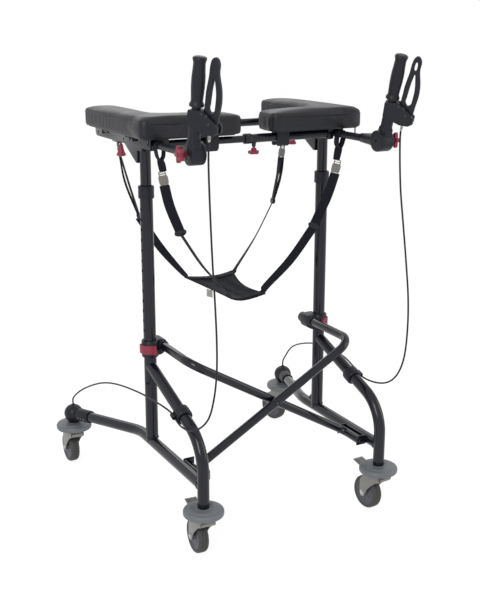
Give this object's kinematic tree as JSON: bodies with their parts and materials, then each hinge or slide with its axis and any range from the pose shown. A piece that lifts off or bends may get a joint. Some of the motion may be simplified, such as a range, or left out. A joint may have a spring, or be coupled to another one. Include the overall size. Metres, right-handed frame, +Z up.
{
  "type": "gait trainer",
  "caption": "Folding forearm gait trainer on swivel casters, with padded forearm rests, tilting hand grips with brake levers, a telescopic frame and a hanging sling seat.",
  "frame": {"origin": "on the floor, below the middle of the whole trainer", "axes": "+Z up; the hand grips are at -Y and the user stands at +Y facing -Y; +X is the side of the crossbar sleeves"},
  "size_m": [0.8304, 0.8371, 1.2347],
  "materials": {
    "tube_paint": "gloss charcoal powder coat",
    "black_plastic": "fine grained black",
    "grip_rubber": "soft matt black",
    "pad_vinyl": "black upholstery vinyl with a light sheen",
    "bumper_grey": "blue grey moulded rubber",
    "fork_steel": "dull zinc plate",
    "tyre_grey": "matt grey tread",
    "knob_red": "crimson moulded plastic",
    "webbing_black": "woven black webbing",
    "cable_black": "black outer cable"
  },
  "bodies": {
    "left_frame": {"side_frame_left": "tube_paint", "post_collar_left": "black_plastic", "rear_socket_left": "black_plastic", "bumper_ring_front_left": "bumper_grey", "bumper_ring_rear_left": "bumper_grey", "cable_clip_left": "black_plastic", "brake_cable_left": "cable_black"},
    "right_frame": {"side_frame_right": "tube_paint", "post_collar_right": "black_plastic", "rear_socket_right": "black_plastic", "bumper_ring_front_right": "bumper_grey", "bumper_ring_rear_right": "bumper_grey", "cable_clip_right": "black_plastic", "brake_cable_right": "cable_black"},
    "brace_front": {"cross_brace_front": "tube_paint"},
    "brace_rear": {"cross_brace_rear": "tube_paint"},
    "clamp_left": {"brace_clamp_left": "black_plastic"},
    "clamp_right": {"brace_clamp_right": "black_plastic"},
    "latch_left": {"clamp_latch_left": "knob_red"},
    "latch_right": {"clamp_latch_right": "knob_red"},
    "top_left": {"top_frame_left": "tube_paint", "crossbar_tube_front": "tube_paint", "crossbar_tube_rear": "tube_paint", "harness": "webbing_black"},
    "top_right": {"top_frame_right": "tube_paint", "crossbar_sleeve_front": "tube_paint", "crossbar_sleeve_rear": "tube_paint"},
    "button_left": {"snap_button_left": "fork_steel"},
    "button_right": {"snap_button_right": "fork_steel"},
    "pad_left": {"arm_pad_left": "pad_vinyl", "pad_base_left": "black_plastic"},
    "pad_right": {"arm_pad_right": "pad_vinyl", "pad_base_right": "black_plastic"},
    "arm_left": {"arm_tube_left": "black_plastic"},
    "arm_right": {"arm_tube_right": "black_plastic"},
    "handle_left": {"handle_hub_left": "black_plastic", "grip_left": "grip_rubber", "lever_housing_left": "black_plastic"},
    "handle_right": {"handle_hub_right": "black_plastic", "grip_right": "grip_rubber", "lever_housing_right": "black_plastic"},
    "lever_left": {"brake_lever_left": "black_plastic"},
    "lever_right": {"brake_lever_right": "black_plastic"},
    "knob_width": {"width_knob": "knob_red"},
    "knob_reach_left": {"reach_knob_left": "knob_red"},
    "knob_reach_right": {"reach_knob_right": "knob_red"},
    "knob_tilt_left": {"tilt_knob_left": "knob_red"},
    "knob_tilt_right": {"tilt_knob_right": "knob_red"},
    "caster_front_left": {"caster_fork_front_left": "fork_steel"},
    "caster_front_right": {"caster_fork_front_right": "fork_steel"},
    "caster_rear_left": {"caster_fork_rear_left": "fork_steel"},
    "caster_rear_right": {"caster_fork_rear_right": "fork_steel"},
    "roller_front_left": {"wheel_front_left": "tyre_grey"},
    "roller_front_right": {"wheel_front_right": "tyre_grey"},
    "roller_rear_left": {"wheel_rear_left": "tyre_grey"},
    "roller_rear_right": {"wheel_rear_right": "tyre_grey"},
    "pedal_left": {"lock_pedal_left": "fork_steel"},
    "pedal_right": {"lock_pedal_right": "fork_steel"},
    "shoe_left": {"brake_shoe_left": "fork_steel"},
    "shoe_right": {"brake_shoe_right": "fork_steel"}
  },
  "joints": [
    {"name": "fold", "type": "hinge", "parent": "left_frame", "child": "brace_front", "pos_m": [-0.234, -0.2433, 0.2], "axis": [0, -1, 0], "range_deg": [0, 31]},
    {"name": "brace_cross", "type": "hinge", "parent": "brace_front", "child": "brace_rear", "pos_m": [0, -0.2188, 0.336], "axis": [0, -1, 0], "range_deg": [-62, 0]},
    {"name": "frame_right_pivot", "type": "hinge", "parent": "brace_rear", "child": "right_frame", "pos_m": [0.234, -0.2188, 0.2], "axis": [0, -1, 0], "range_deg": [0, 31], "deforming": ["harness"]},
    {"name": "clamp_left_pivot", "type": "hinge", "parent": "brace_rear", "child": "clamp_left", "pos_m": [-0.234, -0.0288, 0.472], "axis": [0, -1, 0], "range_deg": [0, 31]},
    {"name": "clamp_right_pivot", "type": "hinge", "parent": "brace_front", "child": "clamp_right", "pos_m": [0.234, -0.0288, 0.472], "axis": [0, -1, 0], "range_deg": [-31, 0]},
    {"name": "latch_left_turn", "type": "hinge", "parent": "clamp_left", "child": "latch_left", "pos_m": [-0.26161, -0.05639, 0.466], "axis": [0, 0, 1], "range_deg": [0, 70]},
    {"name": "latch_right_turn", "type": "hinge", "parent": "clamp_right", "child": "latch_right", "pos_m": [0.26161, -0.05639, 0.466], "axis": [0, 0, -1], "range_deg": [0, 70]},
    {"name": "height_left", "type": "slide", "parent": "left_frame", "child": "top_left", "axis": [0, 0, 1], "range_m": [-0.054, 0.189], "deforming": ["brake_cable_left"]},
    {"name": "height_right", "type": "slide", "parent": "right_frame", "child": "top_right", "axis": [0, 0, 1], "range_m": [-0.054, 0.189], "deforming": ["brake_cable_right"]},
    {"name": "button_left_press", "type": "slide", "parent": "top_left", "child": "button_left", "axis": [-1, 0, 0], "range_m": [0, 0.004], "stiffness_N_per_m": 300},
    {"name": "button_right_press", "type": "slide", "parent": "top_right", "child": "button_right", "axis": [1, 0, 0], "range_m": [0, 0.004], "stiffness_N_per_m": 300},
    {"name": "pad_left_turn", "type": "hinge", "parent": "top_left", "child": "pad_left", "pos_m": [-0.2885, -0.0288, 1.0215], "axis": [0, -1, 0], "range_deg": [0, 90]},
    {"name": "pad_right_turn", "type": "hinge", "parent": "top_right", "child": "pad_right", "pos_m": [0.2885, -0.0288, 1.0215], "axis": [0, 1, 0], "range_deg": [0, 90]},
    {"name": "reach_left", "type": "slide", "parent": "top_left", "child": "arm_left", "axis": [0, -1, 0], "range_m": [-0.07, 0.05]},
    {"name": "reach_right", "type": "slide", "parent": "top_right", "child": "arm_right", "axis": [0, -1, 0], "range_m": [-0.07, 0.05]},
    {"name": "tilt_left", "type": "hinge", "parent": "arm_left", "child": "handle_left", "pos_m": [-0.265, -0.3108, 1.0145], "axis": [1, 0, 0], "range_deg": [-14, 46]},
    {"name": "tilt_right", "type": "hinge", "parent": "arm_right", "child": "handle_right", "pos_m": [0.265, -0.3108, 1.0145], "axis": [1, 0, 0], "range_deg": [-20, 40]},
    {"name": "lever_left_squeeze", "type": "hinge", "parent": "handle_left", "child": "lever_left", "pos_m": [-0.24148, -0.35822, 1.08606], "axis": [-0.8192, -0.564, -0.1045], "range_deg": [0, 5], "stiffness_Nm_per_rad": 2, "springref_deg": -11.46},
    {"name": "lever_right_squeeze", "type": "hinge", "parent": "handle_right", "child": "lever_right", "pos_m": [0.29399, -0.36103, 1.08201], "axis": [-0.7071, -0.678, -0.2008], "range_deg": [0, 5], "stiffness_Nm_per_rad": 2, "springref_deg": -11.46},
    {"name": "knob_width_turn", "type": "hinge", "parent": "top_right", "child": "knob_width", "pos_m": [0.013, -0.0928, 0.98], "axis": [0, 0, 1], "continuous": true},
    {"name": "knob_reach_left_turn", "type": "hinge", "parent": "top_left", "child": "knob_reach_left", "pos_m": [-0.265, 0.1342, 0.969], "axis": [0, 0, 1], "continuous": true},
    {"name": "knob_reach_right_turn", "type": "hinge", "parent": "top_right", "child": "knob_reach_right", "pos_m": [0.265, 0.1342, 0.969], "axis": [0, 0, 1], "continuous": true},
    {"name": "knob_tilt_left_turn", "type": "hinge", "parent": "handle_left", "child": "knob_tilt_left", "pos_m": [-0.3, -0.3108, 1.0145], "axis": [-1, 0, 0], "continuous": true},
    {"name": "knob_tilt_right_turn", "type": "hinge", "parent": "handle_right", "child": "knob_tilt_right", "pos_m": [0.3, -0.3108, 1.0145], "axis": [1, 0, 0], "continuous": true},
    {"name": "swivel_front_left", "type": "hinge", "parent": "left_frame", "child": "caster_front_left", "pos_m": [-0.265, -0.3443, 0.119], "axis": [0, 0, 1], "continuous": true},
    {"name": "swivel_front_right", "type": "hinge", "parent": "right_frame", "child": "caster_front_right", "pos_m": [0.265, -0.3443, 0.119], "axis": [0, 0, 1], "continuous": true},
    {"name": "swivel_rear_left", "type": "hinge", "parent": "left_frame", "child": "caster_rear_left", "pos_m": [-0.364, 0.3387, 0.119], "axis": [0, 0, 1], "continuous": true},
    {"name": "swivel_rear_right", "type": "hinge", "parent": "right_frame", "child": "caster_rear_right", "pos_m": [0.364, 0.3387, 0.119], "axis": [0, 0, 1], "continuous": true},
    {"name": "roll_front_left", "type": "hinge", "parent": "caster_front_left", "child": "roller_front_left", "pos_m": [-0.26291, -0.30435, 0.046], "axis": [0.9986, -0.0523, 0], "continuous": true},
    {"name": "roll_front_right", "type": "hinge", "parent": "caster_front_right", "child": "roller_front_right", "pos_m": [0.26151, -0.30445, 0.046], "axis": [0.9962, 0.0872, 0], "continuous": true},
    {"name": "roll_rear_left", "type": "hinge", "parent": "caster_rear_left", "child": "roller_rear_left", "pos_m": [-0.364, 0.3787, 0.046], "axis": [1, 0, 0], "continuous": true},
    {"name": "roll_rear_right", "type": "hinge", "parent": "caster_rear_right", "child": "roller_rear_right", "pos_m": [0.35365, 0.37734, 0.046], "axis": [0.9659, 0.2588, 0], "continuous": true},
    {"name": "pedal_left_press", "type": "hinge", "parent": "caster_front_left", "child": "pedal_left", "pos_m": [-0.26489, -0.3423, 0.1015], "axis": [-0.9986, 0.0523, 0], "range_deg": [0, 15]},
    {"name": "pedal_right_press", "type": "hinge", "parent": "caster_front_right", "child": "pedal_right", "pos_m": [0.26483, -0.34231, 0.1015], "axis": [-0.9962, -0.0872, 0], "range_deg": [0, 15]},
    {"name": "shoe_left_press", "type": "slide", "parent": "caster_rear_left", "child": "shoe_left", "axis": [0, 0, -1], "range_m": [0, 0.002]},
    {"name": "shoe_right_press", "type": "slide", "parent": "caster_rear_right", "child": "shoe_right", "axis": [0, 0, -1], "range_m": [0, 0.002]}
  ],
  "couplings": [
    {"joint": "brace_cross", "follows": "fold", "ratio": -2},
    {"joint": "frame_right_pivot", "follows": "fold", "ratio": 1},
    {"joint": "clamp_left_pivot", "follows": "fold", "ratio": 1},
    {"joint": "clamp_right_pivot", "follows": "fold", "ratio": -1},
    {"joint": "pad_left_turn", "follows": "fold", "ratio": 2.9},
    {"joint": "pad_right_turn", "follows": "fold", "ratio": 2.9},
    {"joint": "height_right", "follows": "height_left", "ratio": 1},
    {"joint": "shoe_left_press", "follows": "lever_left_squeeze", "m_per_rad": 0.0229},
    {"joint": "shoe_right_press", "follows": "lever_right_squeeze", "m_per_rad": 0.0229}
  ]
}
